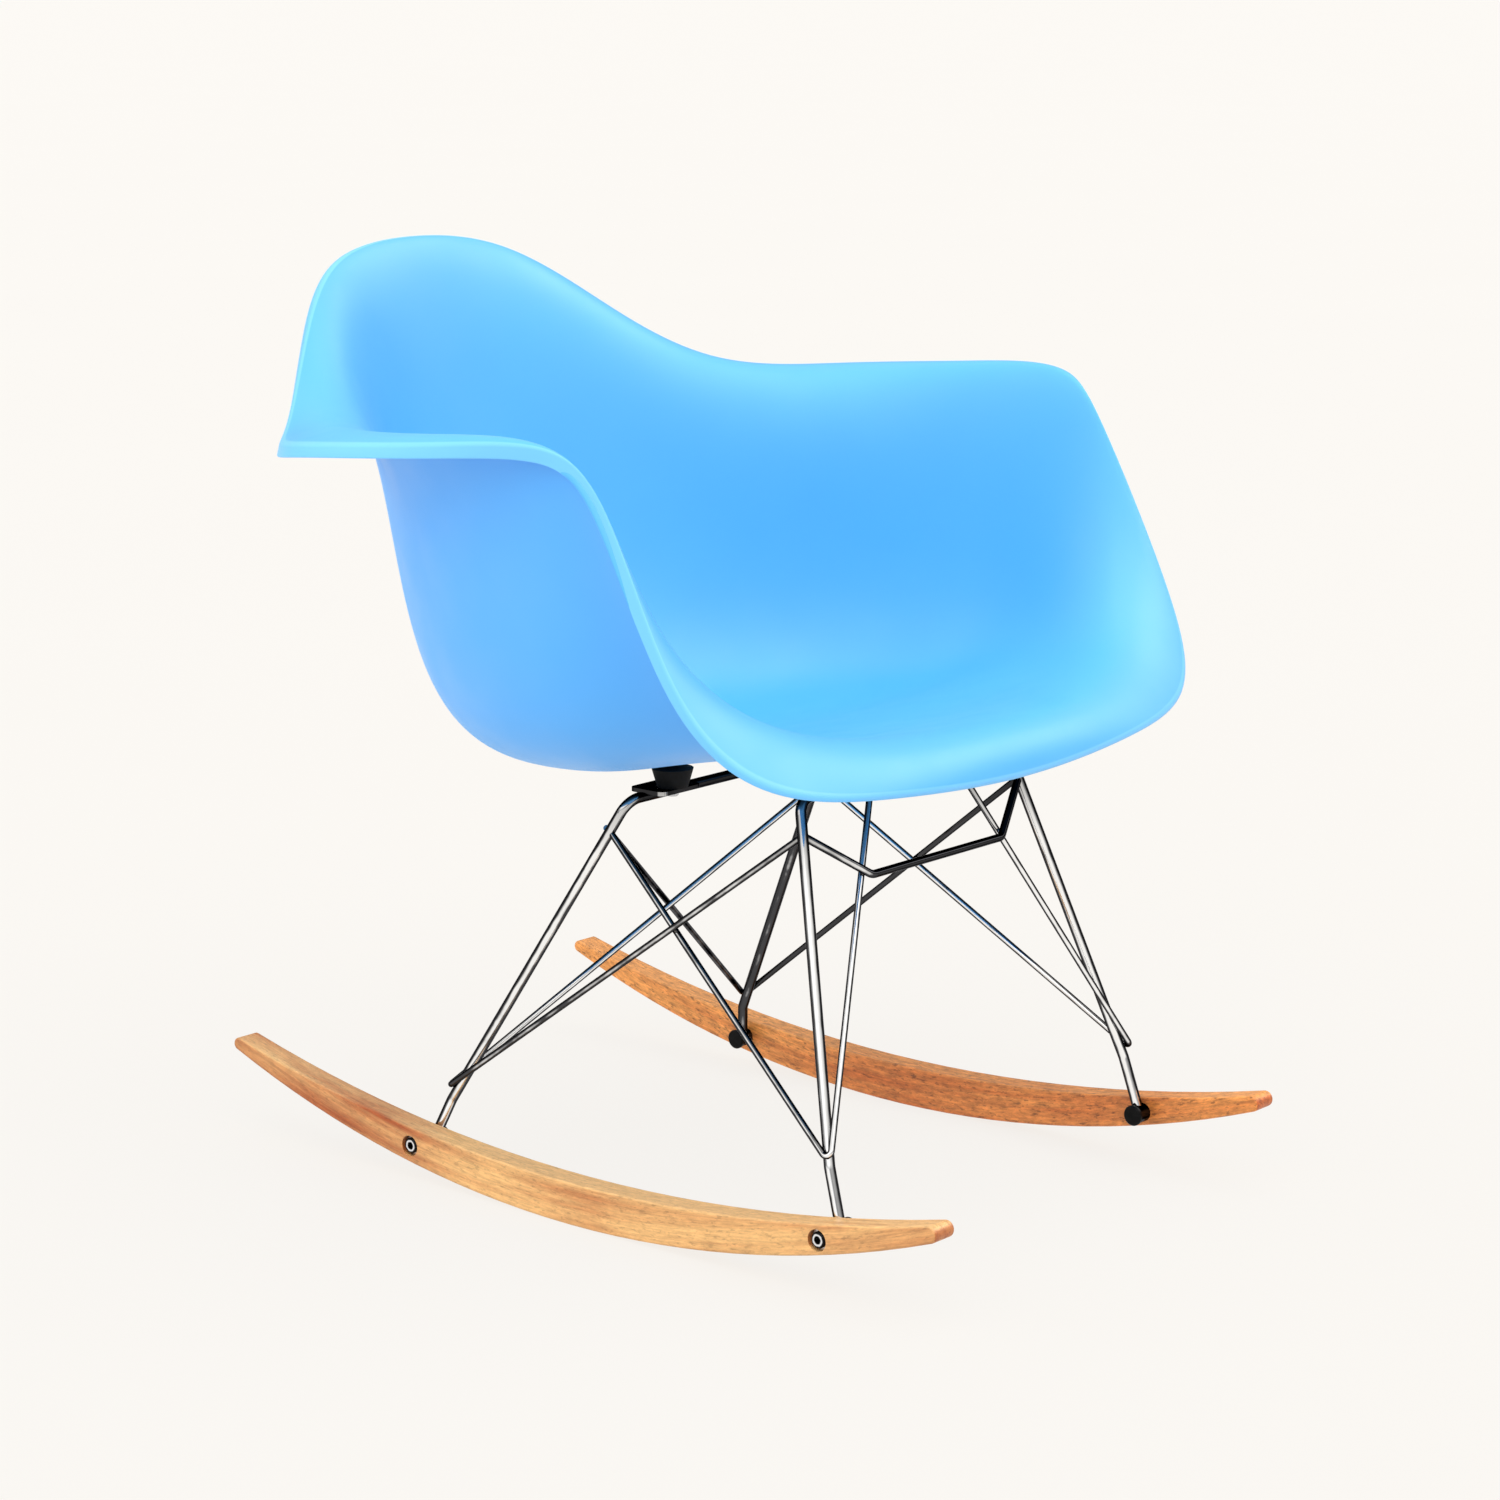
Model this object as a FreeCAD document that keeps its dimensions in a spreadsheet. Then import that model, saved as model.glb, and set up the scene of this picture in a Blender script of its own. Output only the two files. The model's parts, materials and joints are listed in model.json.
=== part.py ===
import FreeCAD
import Part
import Sketcher
import math
import os
import re

# Rocking armchair: a moulded shell on a bent wire base with two bowed wooden rockers.
# Row frame: +X is the front of the chair, +Y its left side, +Z up. The floor is z = 0, and the rockers
# touch it at x = 0, under the centre of their curve. All sizes are in millimetres.

os.makedirs("parts", exist_ok=True)
doc = FreeCAD.newDocument("rocking_armchair")
Vector = FreeCAD.Vector

# Driving dimensions

SIZES = {
    # rockers
    "rocker_bottom_radius": 967,
    "rocker_top_radius": 1425,
    "rocker_height": 32,
    "rocker_width": 22,
    "rocker_offset": 193.7,
    "rocker_rear_tip_radius": 4.9,
    "rocker_front_tip_radius": 6,
    "rocker_edge_radius": 2,
    "rocker_bolt_hole": 6.6,
    "counterbore_diameter": 16,
    "counterbore_depth": 5.5,
    # rods
    "leg_rod_diameter": 8,
    "wire_diameter": 4.8,
    "stretcher_diameter": 6,
    "leg_bend_radius": 14,
    "stretcher_bend_radius": 9,
    "hook_bend_radius": 3.6,
    "weld_sink": 0.15,
    # rear legs
    "rear_foot_x": -160,
    "rear_foot_z": 26.4,
    "rear_kink_x": -151,
    "rear_kink_y": 168,
    "rear_kink_z": 56,
    "rear_top_x": -18.8,
    "rear_top_y": 113.3,
    "rear_top_z": 296,
    "rear_brace_drop": 28,
    "rear_hook_rise": 6,
    # front legs
    "front_foot_x": 235,
    "front_foot_z": 40,
    "front_kink_x": 222,
    "front_kink_y": 175,
    "front_kink_z": 82.5,
    "front_top_x": 149.4,
    "front_top_y": 120,
    "front_top_z": 322,
    "front_brace_drop": 26,
    "front_hook_rise": 1,
    "front_brace_end_y": 45,
    # front stretcher
    "stretcher_half_width": 75.7,
    "stretcher_z": 264.3,
    # where the legs meet the rockers
    "foot_y": 178.2,
    "barrel_diameter": 14,
    "barrel_length": 13,
    "barrel_bore": 6,
    "barrel_bore_depth": 10,
    "cap_diameter": 15.6,
    "cap_length": 3,
    "cap_floor": 1.5,
    "bolt_shank": 6,
    "bolt_shank_length": 24,
    "bolt_head_diameter": 12,
    "bolt_head_height": 3.6,
    "bolt_socket": 5,
    "bolt_socket_depth": 2.8,
    "washer_outside": 15,
    "washer_hole": 6.4,
    "washer_thickness": 1.2,
    # mounts under the seat
    "mount_y": 80,
    "rear_mount_x": -5,
    "front_mount_x": 135.4,
    "plate_length": 44,
    "plate_width": 34,
    "plate_thickness": 3,
    "plate_hole": 5.6,
    "mount_height": 14,
    "mount_top_diameter": 31,
    "mount_base_diameter": 23,
    "insert_flange_diameter": 18,
    "insert_flange_thickness": 1.6,
    "insert_barrel_diameter": 8,
    "insert_length": 10,
    "insert_bore": 5,
    "boss_diameter": 33,
    "screw_shank": 5,
    "screw_shank_length": 11,
    "screw_head_diameter": 9,
    "screw_head_height": 3,
    "screw_socket": 3,
    "screw_socket_depth": 1.8,
    "small_washer_outside": 12,
    "small_washer_hole": 5.4,
    "small_washer_thickness": 1,
    # shell
    "back_height": 683,
    "shell_half_width": 314,
    "seat_thickness": 5,
    "corner_thickness": 4.6,
    "wall_thickness": 3.8,
    "lip_blend": 0.9,
    "lip_blend_lean": 0.6,
    "lip_lean": 1,
    "seat_low_x": -40,
    "seat_low_z": 317.5,
    "seat_slope": 0.18,
    "floor_share": 0.5,
    "stretch_start_z": 420,
}

# The shell is drawn as five closed guide rings round the seat's lowest point. Each ring is a smooth closed
# curve through these stations, from the front centre round the chair's left side to the back centre. The
# right side mirrors the left. The rings widen with the shell's half width. Above a start level they stretch
# to the back's height, so that the seat stays on its mounts.

STATIONS = (
    "front_centre",
    "front_side",
    "front_corner",
    "arm_front_low",
    "arm_front_high",
    "arm_front_corner",
    "arm_middle",
    "arm_rear",
    "wing",
    "back_side",
    "back_corner",
    "back_centre",
)

GUIDES = {
    # the free edge of the shell
    "rim": (
        (258, 0, 336),
        (252, 136, 343),
        (227, 238, 361),
        (178, 283, 428),
        (116, 284, 544),
        (63, 300, 581),
        (-26, 314, 576),
        (-154, 307, 565),
        (-236, 240, 566),
        (-297, 160, 625),
        (-335, 88, 671),
        (-346, 0, 683),
    ),
    # the rolled shoulder just inside the edge
    "shoulder": (
        (253, 0, 370),
        (240, 118, 375),
        (206, 208, 402),
        (161, 260, 465),
        (110, 280, 553),
        (49, 285, 598),
        (-39, 275, 599),
        (-131, 242, 594),
        (-211, 193, 604),
        (-275, 137, 635),
        (-315, 72, 662),
        (-328, 0, 674),
    ),
    # the upright walls
    "wall": (
        (203, 0, 369),
        (191, 93, 371),
        (165, 173, 383),
        (128, 224, 410),
        (82, 252, 442),
        (26, 258, 470),
        (-48, 245, 487),
        (-124, 214, 500),
        (-196, 167, 512),
        (-252, 114, 516),
        (-284, 57, 515),
        (-296, 0, 514),
    ),
    # the rounded corner between the seat and the walls
    "corner": (
        (134, 0, 347),
        (127, 87, 348),
        (108, 157, 352),
        (80, 202, 350),
        (43, 225, 340),
        (-5, 230, 330),
        (-64, 222, 325),
        (-125, 199, 322),
        (-181, 160, 323),
        (-220, 110, 324),
        (-242, 55, 325),
        (-249, 0, 326),
    ),
}

# How far the rim's underside lies from its upper line, station by station: the rolled lip
LIP_DEPTHS = (4.5, 4.5, 5, 8.5, 12, 11.5, 10.5, 10.5, 10, 8, 6, 5)

sheet = doc.addObject("Spreadsheet::Sheet", "sizes")
row = 1


def add_size(name, value):
    """Write one named driving dimension to the sheet."""
    global row
    sheet.set(f"A{row}", name.replace("_", " "))
    sheet.set(f"B{row}", str(value))
    sheet.setAlias(f"B{row}", name)
    row += 1


for name, value in SIZES.items():
    add_size(name, value)
for ring, points in GUIDES.items():
    for station, point in zip(STATIONS, points):
        for axis, value in zip("xyz", point):
            add_size(f"{ring}_{station}_{axis}", value)
for station, depth in zip(STATIONS, LIP_DEPTHS):
    add_size(f"lip_{station}", depth)
doc.recompute()


def size(name):
    """A driving dimension, read back from the sheet."""
    return float(sheet.get(name))


SIDES = {"right": -1, "left": 1}
ORIGIN = Vector(0, 0, 0)
LEFTWARD = Vector(0, 1, 0)
UP = Vector(0, 0, 1)


# Bodies and sketches


def evaluate(formula):
    """The value of a formula written in sheet names."""
    return float(sheet.evalExpression(formula))


def sheet_formula(formula):
    """The same formula, written for an object outside the sheet."""
    words = re.findall(r"[a-z_]+|[^a-z_]+", formula)
    return "".join("sizes." + word if word[0].isalpha() else word for word in words)


def new_body(name):
    body = doc.addObject("PartDesign::Body", name)
    body.Label = name
    return body


def new_sketch(body, name, role):
    """A sketch on one of the body's own origin planes."""
    sketch = body.newObject("Sketcher::SketchObject", name)
    plane = next(feature for feature in body.Origin.OriginFeatures if feature.Role == role)
    sketch.AttachmentSupport = [(plane, "")]
    sketch.MapMode = "FlatFace"
    return sketch


def constrain(sketch, kind, places, formula):
    """Add one dimension to a sketch and bind it to the sheet."""
    index = sketch.addConstraint(Sketcher.Constraint(kind, *places, evaluate(formula)))
    sketch.setExpression(f"Constraints[{index}]", sheet_formula(formula))


def place_point(sketch, geometry, corner, along, across):
    """Hold a point of a sketch at its distances from the origin. A zero distance is an axis."""
    for kind, formula, axis in (("DistanceX", along, -2), ("DistanceY", across, -1)):
        if formula == "0":
            sketch.addConstraint(Sketcher.Constraint("PointOnObject", geometry, corner, axis))
        else:
            constrain(sketch, kind, (-1, 1, geometry, corner), formula)


def sketch_circle(sketch, diameter, along="0", across="0"):
    centre = Vector(evaluate(along), evaluate(across), 0)
    circle = sketch.addGeometry(Part.Circle(centre, UP, evaluate(diameter) / 2), False)
    place_point(sketch, circle, 3, along, across)
    constrain(sketch, "Diameter", (circle,), diameter)


def sketch_outline(sketch, corners):
    """A closed outline through corners given as pairs of formulas."""
    points = [Vector(evaluate(along), evaluate(across), 0) for along, across in corners]
    count = len(points)
    for k in range(count):
        sketch.addGeometry(Part.LineSegment(points[k], points[(k + 1) % count]), False)
    for k in range(count):
        sketch.addConstraint(Sketcher.Constraint("Coincident", k, 2, (k + 1) % count, 1))
    for k, (along, across) in enumerate(corners):
        place_point(sketch, k, 1, along, across)


def turned_body(name, corners):
    """A piece turned about its own Z axis from an outline of (radius, height) formulas."""
    body = new_body(name)
    sketch = new_sketch(body, name + "_outline", "XZ_Plane")
    sketch_outline(sketch, corners)
    turning = body.newObject("PartDesign::Revolution", name + "_turning")
    turning.Profile = sketch
    turning.ReferenceAxis = (sketch, ["V_Axis"])
    turning.Angle = 360
    body.Tip = turning
    return body


def bind_place(thing, x, y, z, rotation=None):
    """Place an object by three formulas, after an optional turn."""
    if rotation:
        thing.Placement = FreeCAD.Placement(ORIGIN, rotation)
    for axis, formula in zip("xyz", (x, y, z)):
        thing.setExpression(f"Placement.Base.{axis}", sheet_formula(formula))


# Rockers


def tip_centre(tip_radius):
    """Centre of the round tip that touches the lower arc from inside and the upper arc from outside."""
    low_radius = size("rocker_bottom_radius")
    top_radius = size("rocker_top_radius")
    top_centre = size("rocker_height") + top_radius
    gap = top_centre - low_radius
    low_reach = low_radius - tip_radius
    top_reach = top_radius + tip_radius
    height = ((low_reach**2 - top_reach**2) / gap + low_radius + top_centre) / 2
    along = math.sqrt(low_reach**2 - (height - low_radius) ** 2)
    return along, height


def arc_between(centre, radius, first, second):
    """The anticlockwise arc about a centre between the directions of two points."""
    angles = [math.atan2(point.y - centre.y, point.x - centre.x) for point in (first, second)]
    return Part.ArcOfCircle(Part.Circle(centre, UP, radius), *angles)


def sketch_rocker(sketch):
    """The bowed side view: two long arcs joined by round tips."""
    low_radius = size("rocker_bottom_radius")
    top_radius = size("rocker_top_radius")
    low_centre = Vector(0, low_radius, 0)
    top_centre = Vector(0, size("rocker_height") + top_radius, 0)
    touches = {}
    tips = {}
    for end, sign in (("rear", -1), ("front", 1)):
        radius = size(f"rocker_{end}_tip_radius")
        along, height = tip_centre(radius)
        centre = Vector(sign * along, height, 0)
        away = (centre - low_centre).normalize()
        toward = (top_centre - centre).normalize()
        touches[end] = (centre + away * radius, centre + toward * radius)
        tips[end] = (centre, radius)
    low = arc_between(low_centre, low_radius, touches["rear"][0], touches["front"][0])
    top = arc_between(top_centre, top_radius, touches["rear"][1], touches["front"][1])
    front = arc_between(*tips["front"], *touches["front"])
    rear = arc_between(*tips["rear"], touches["rear"][1], touches["rear"][0])
    for curve in (low, front, top, rear):
        sketch.addGeometry(curve, False)
    # each joint: (arc, its end, next arc, its end)
    for joint in ((0, 2, 1, 1), (1, 2, 2, 2), (2, 1, 3, 1), (3, 2, 0, 1)):
        sketch.addConstraint(Sketcher.Constraint("Tangent", *joint))
    place_point(sketch, 0, 3, "0", "rocker_bottom_radius")
    place_point(sketch, 2, 3, "0", "rocker_height + rocker_top_radius")
    for arc, radius in enumerate(
        (
            "rocker_bottom_radius",
            "rocker_front_tip_radius",
            "rocker_top_radius",
            "rocker_rear_tip_radius",
        )
    ):
        constrain(sketch, "Radius", (arc,), radius)


def make_rocker(side, sign):
    """One wooden rocker with rounded edges and two counterbored bolt holes from its outer face."""
    name = f"{side}_rocker"
    body = new_body(name)
    sketch = new_sketch(body, name + "_side_view", "XZ_Plane")
    sketch_rocker(sketch)
    plank = body.newObject("PartDesign::Pad", name + "_plank")
    plank.Profile = sketch
    plank.setExpression("Length", "sizes.rocker_width")
    plank.Midplane = True
    doc.recompute()
    arcs = [
        f"Edge{k}"
        for k, edge in enumerate(plank.Shape.Edges, 1)
        if isinstance(edge.Curve, Part.Circle)
    ]
    rounding = body.newObject("PartDesign::Fillet", name + "_rounding")
    rounding.Base = (plank, arcs)
    rounding.setExpression("Radius", "sizes.rocker_edge_radius")
    doc.recompute()
    holes = new_sketch(body, name + "_hole_places", "XZ_Plane")
    holes.setExpression("AttachmentOffset.Base.z", f"{-sign} * sizes.rocker_width / 2")
    for end in ("rear", "front"):
        sketch_circle(holes, "rocker_bolt_hole", f"{end}_foot_x", f"{end}_foot_z")
    doc.recompute()
    drilling = body.newObject("PartDesign::Hole", name + "_bolt_holes")
    drilling.Profile = holes
    drilling.DepthType = "ThroughAll"
    drilling.setExpression("Diameter", "sizes.rocker_bolt_hole")
    drilling.HoleCutType = "Counterbore"
    drilling.HoleCutCustomValues = True
    drilling.setExpression("HoleCutDiameter", "sizes.counterbore_diameter")
    drilling.setExpression("HoleCutDepth", "sizes.counterbore_depth")
    drilling.Reversed = sign > 0
    body.Tip = drilling
    bind_place(body, "0", f"{sign} * rocker_offset", "0")
    return body


# Bent rods


def line_and_bends(points, radius):
    """A path of straight lines through points, its corners bent to one radius."""
    edges = []
    start = points[0]
    for before, corner, after in zip(points, points[1:], points[2:]):
        back = (before - corner).normalize()
        ahead = (after - corner).normalize()
        half = back.getAngle(ahead) / 2
        first = corner + back * (radius / math.tan(half))
        last = corner + ahead * (radius / math.tan(half))
        middle_way = (back + ahead).normalize()
        centre = corner + middle_way * (radius / math.sin(half))
        middle = centre - middle_way * radius
        edges.append(Part.makeLine(start, first))
        edges.append(Part.Arc(first, middle, last).toShape())
        start = last
    edges.append(Part.makeLine(start, points[-1]))
    return Part.Wire(edges)


def bent_rod(name, path, diameter):
    """A round rod swept along a path, its diameter bound to the sheet."""
    spine = doc.addObject("Part::Feature", name + "_path")
    spine.Shape = path
    first = path.OrderedEdges[0]
    heading = first.tangentAt(first.FirstParameter)
    section = doc.addObject("Part::Circle", name + "_section")
    section.setExpression("Radius", f"sizes.{diameter} / 2")
    section.Placement = FreeCAD.Placement(
        first.valueAt(first.FirstParameter), FreeCAD.Rotation(UP, heading)
    )
    rod = doc.addObject("Part::Sweep", name + "_rod")
    rod.Sections = [section]
    rod.Spine = (spine, [f"Edge{k}" for k in range(1, len(path.Edges) + 1)])
    rod.Solid = True
    rod.Frenet = False
    return rod


def cut_from(name, base, tool):
    piece = doc.addObject("Part::Cut", name)
    piece.Label = name
    piece.Base = base
    piece.Tool = tool
    return piece


def leg_point(end, place, sign):
    """A named point on a leg's axis: its foot, its kink or its top corner."""
    if place == "foot":
        return Vector(size(f"{end}_foot_x"), sign * size("foot_y"), size(f"{end}_foot_z"))
    key = f"{end}_{place}_"
    return Vector(size(key + "x"), sign * size(key + "y"), size(key + "z"))


def leg_heading(end, sign):
    """Unit vector up the straight part of a leg, from its kink to its top corner."""
    return (leg_point(end, "top", sign) - leg_point(end, "kink", sign)).normalize()


def frame_normal(end):
    """Unit normal of the plane that holds both upper legs of a frame, toward the front."""
    return LEFTWARD.cross(leg_heading(end, 0)).normalize()


def leg_reach():
    """Distance between the axes of a leg and a wire that is welded along it."""
    return (size("leg_rod_diameter") + size("wire_diameter")) / 2 - size("weld_sink")


def make_leg_frame(end):
    """One rod bent into two legs and the bar between them, coped onto the two leg barrels."""
    name = f"{end}_leg_frame"
    right = [leg_point(end, place, SIDES["right"]) for place in ("foot", "kink", "top")]
    left = [leg_point(end, place, SIDES["left"]) for place in ("top", "kink", "foot")]
    rod = bent_rod(name, line_and_bends(right + left, size("leg_bend_radius")), "leg_rod_diameter")
    sockets = []
    for side, sign in SIDES.items():
        socket = doc.addObject("Part::Cylinder", f"{end}_{side}_coping")
        socket.setExpression("Radius", "sizes.barrel_diameter / 2")
        socket.setExpression("Height", "2 * sizes.barrel_length")
        tuck = f"{sign} * foot_y + barrel_length"
        bind_place(socket, f"{end}_foot_x", tuck, f"{end}_foot_z", FreeCAD.Rotation(UP, -LEFTWARD))
        sockets.append(socket)
    both = doc.addObject("Part::Compound", f"{end}_copings")
    both.Links = sockets
    return cut_from(name, rod, both)


def node_on_leg(end, sign):
    """The point on a leg's axis where the braces meet it, a little below the top corner."""
    drop = size(f"{end}_brace_drop")
    return leg_point(end, "top", sign) - leg_heading(end, sign) * drop


def tangent_touch(point, side, reach):
    """In the plane across a leg: where a line from a point touches the circle of a radius, on a side."""
    far = point.Length
    along = point * (reach**2 / far**2)
    across = point.cross(side).cross(point).normalize()
    touch = along + across * (reach * math.sqrt(far**2 - reach**2) / far)
    return touch


def hook_corner(end, sign, arms):
    """Where the two arms of a brace would meet when each one touches the leg on its own side."""
    kink = leg_point(end, "kink", sign)
    axis = leg_heading(end, sign)
    reach = leg_reach()
    touches = []
    for target, side in arms:
        flat = (target - kink) - axis * (target - kink).dot(axis)
        flat_side = side - axis * side.dot(axis)
        touches.append(tangent_touch(flat, flat_side, reach))
    first, second = touches
    # the corner lies on both tangent lines: corner . touch = reach squared
    normal = first.cross(second)
    corner = (second.cross(normal) + normal.cross(first)) * (reach**2 / normal.dot(normal))
    return kink + axis * size(f"{end}_hook_rise") + corner


def brace(name, path_points, welded_to):
    """A thin wire bent once round a leg, trimmed where it is welded to the leg frames."""
    path = line_and_bends(path_points, size("hook_bend_radius"))
    rod = bent_rod(name, path, "wire_diameter")
    return cut_from(name, rod, welded_to)


def make_front_brace(side, sign, frames):
    """From the rear leg down to the front leg's kink, then up past the stretcher to the front bar."""
    rear_end = node_on_leg("rear", sign)
    normal = frame_normal("front")
    bar = leg_point("front", "top", 0) + Vector(0, sign * size("front_brace_end_y"), 0)
    bar_end = bar + normal * leg_reach() + leg_heading("front", 0) * size("wire_diameter")
    outward = LEFTWARD * sign
    corner = hook_corner("front", sign, ((rear_end, outward), (bar_end, normal)))
    return brace(f"front_{side}_brace", [rear_end, corner, bar_end], frames)


def make_rear_brace(side, sign, frames):
    """From the front leg down to the rear leg's kink, then up across the back to the far rear leg."""
    front_end = node_on_leg("front", sign)
    normal = frame_normal("rear")
    # the two wires that cross at the back end on opposite faces of the legs, so that they pass
    shift = normal * (-sign * (size("leg_rod_diameter") + size("weld_sink")) / 2)
    far_end = node_on_leg("rear", -sign) + shift
    outward = LEFTWARD * sign
    corner = hook_corner("rear", sign, ((front_end, outward), (far_end, -normal)))
    return brace(f"rear_{side}_brace", [front_end, corner, far_end], frames)


def make_stretcher(frame):
    """The dropped bar between the front legs. It runs in front of the braces that it is welded to."""
    normal = frame_normal("front")
    top = leg_point("front", "top", 0)
    plane_x = top.x + (top.z - size("stretcher_z")) * normal.z / normal.x
    beside = (size("wire_diameter") + size("stretcher_diameter")) / 2 - size("weld_sink")
    ahead = leg_reach() + beside
    bend_x = plane_x + ahead / normal.x
    points = [node_on_leg("front", SIDES["right"])]
    for sign in SIDES.values():
        points.append(Vector(bend_x, sign * size("stretcher_half_width"), size("stretcher_z")))
    points.append(node_on_leg("front", SIDES["left"]))
    path = line_and_bends(points, size("stretcher_bend_radius"))
    return cut_from("front_stretcher", bent_rod("front_stretcher", path, "stretcher_diameter"), frame)


# Fasteners


def socket_screw(name, key):
    """A cap screw that stands on its head's underside at z = 0, shank up, with a hexagon socket."""
    head = doc.addObject("Part::Cylinder", name + "_head")
    head.setExpression("Radius", f"sizes.{key}_head_diameter / 2")
    head.setExpression("Height", f"sizes.{key}_head_height")
    bind_place(head, "0", "0", f"0 - {key}_head_height")
    rounded = doc.addObject("Part::Chamfer", name + "_head_edge")
    rounded.Base = head
    doc.recompute()
    chamfer = size(f"{key}_head_height") / 4
    outer = next(
        k
        for k, edge in enumerate(head.Shape.Edges, 1)
        if isinstance(edge.Curve, Part.Circle) and edge.CenterOfMass.z < -chamfer
    )
    rounded.Edges = [(outer, chamfer, chamfer)]
    shank = doc.addObject("Part::Cylinder", name + "_shank")
    shank.setExpression("Radius", f"sizes.{key}_shank / 2")
    shank.setExpression("Height", f"sizes.{key}_shank_length")
    blank = doc.addObject("Part::Fuse", name + "_blank")
    blank.Base = rounded
    blank.Tool = shank
    socket = doc.addObject("Part::Prism", name + "_socket")
    socket.Polygon = 6
    socket.setExpression("Circumradius", f"sizes.{key}_socket / sqrt(3)")
    socket.setExpression("Height", f"sizes.{key}_socket_depth")
    bind_place(socket, "0", "0", f"0 - {key}_head_height")
    return cut_from(name, blank, socket)


def washer(name, key):
    """A flat washer that lies on z = 0."""
    disc = doc.addObject("Part::Cylinder", name + "_disc")
    disc.setExpression("Radius", f"sizes.{key}_outside / 2")
    disc.setExpression("Height", f"sizes.{key}_thickness")
    hole = doc.addObject("Part::Cylinder", name + "_hole")
    hole.setExpression("Radius", f"sizes.{key}_hole / 2")
    hole.setExpression("Height", f"sizes.{key}_thickness")
    return cut_from(name, disc, hole)


def group(name, pieces):
    """Identical fasteners kept as one node of separate solids."""
    bundle = doc.addObject("Part::Compound", name)
    bundle.Label = name
    bundle.Links = pieces
    return bundle


def make_foot(end, side, sign):
    """The threaded barrel under a leg, its cap, and the bolt and washer that come through the rocker."""
    inward = FreeCAD.Rotation(UP, LEFTWARD * -sign)
    inner_face = f"{sign} * (rocker_offset - rocker_width / 2)"
    seat = f"{sign} * (rocker_offset + rocker_width / 2 - counterbore_depth)"
    x = f"{end}_foot_x"
    z = f"{end}_foot_z"
    barrel = turned_body(
        f"{end}_{side}_leg_barrel",
        (
            ("barrel_bore / 2", "0"),
            ("barrel_diameter / 2", "0"),
            ("barrel_diameter / 2", "barrel_length"),
            ("0", "barrel_length"),
            ("0", "barrel_bore_depth"),
            ("barrel_bore / 2", "barrel_bore_depth"),
        ),
    )
    bind_place(barrel, x, inner_face, z, inward)
    cap = turned_body(
        f"{end}_{side}_barrel_cap",
        (
            ("barrel_diameter / 2", "cap_floor - cap_length"),
            ("cap_diameter / 2", "cap_floor - cap_length"),
            ("cap_diameter / 2", "cap_floor - 1"),
            ("cap_diameter / 2 - 1", "cap_floor"),
            ("0", "cap_floor"),
            ("0", "0"),
            ("barrel_diameter / 2", "0"),
        ),
    )
    barrel_end = f"{sign} * (rocker_offset - rocker_width / 2 - barrel_length)"
    bind_place(cap, x, barrel_end, z, inward)
    ring = washer(f"{end}_{side}_bolt_washer", "washer")
    bind_place(ring, x, seat, z, FreeCAD.Rotation(UP, LEFTWARD * sign))
    bolt = socket_screw(f"{end}_{side}_rocker_bolt", "bolt")
    bind_place(bolt, x, f"{seat} + {sign} * washer_thickness", z, inward)
    return barrel, cap, ring, bolt


# Mounts between the wire base and the shell


def plate_level(end):
    """Formula for the underside of a mount plate, which lies on the bar of a leg frame."""
    return f"{end}_top_z + leg_rod_diameter / 2 - weld_sink"


def mount_plate(end, side, sign, frame):
    """A flat steel plate welded across the bar, with a hole for the mount screw."""
    name = f"{end}_{side}_mount_plate"
    body = new_body(name + "_blank")
    sketch = new_sketch(body, name + "_outline", "XY_Plane")
    half_width = "plate_width / 2"
    half_length = "plate_length / 2"
    sketch_outline(
        sketch,
        (
            (f"0 - {half_width}", f"0 - {half_length}"),
            (half_width, f"0 - {half_length}"),
            (half_width, half_length),
            (f"0 - {half_width}", half_length),
        ),
    )
    slab = body.newObject("PartDesign::Pad", name + "_slab")
    slab.Profile = sketch
    slab.setExpression("Length", "sizes.plate_thickness")
    doc.recompute()
    corners = [
        f"Edge{k}"
        for k, edge in enumerate(slab.Shape.Edges, 1)
        if abs(edge.tangentAt(edge.FirstParameter).z) > 0.5
    ]
    rounding = body.newObject("PartDesign::Fillet", name + "_corners")
    rounding.Base = (slab, corners)
    rounding.setExpression("Radius", "2 * sizes.plate_thickness")
    doc.recompute()
    shift = f"{end}_mount_x - ({end}_mount_x + {end}_top_x) / 2"
    holes = new_sketch(body, name + "_hole_place", "XY_Plane")
    sketch_circle(holes, "plate_hole", shift, "0")
    drilling = body.newObject("PartDesign::Pocket", name + "_hole")
    drilling.Profile = holes
    drilling.Type = "ThroughAll"
    drilling.Midplane = True
    body.Tip = drilling
    bind_place(body, f"({end}_mount_x + {end}_top_x) / 2", f"{sign} * mount_y", plate_level(end))
    return cut_from(name, body, frame)


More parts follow.
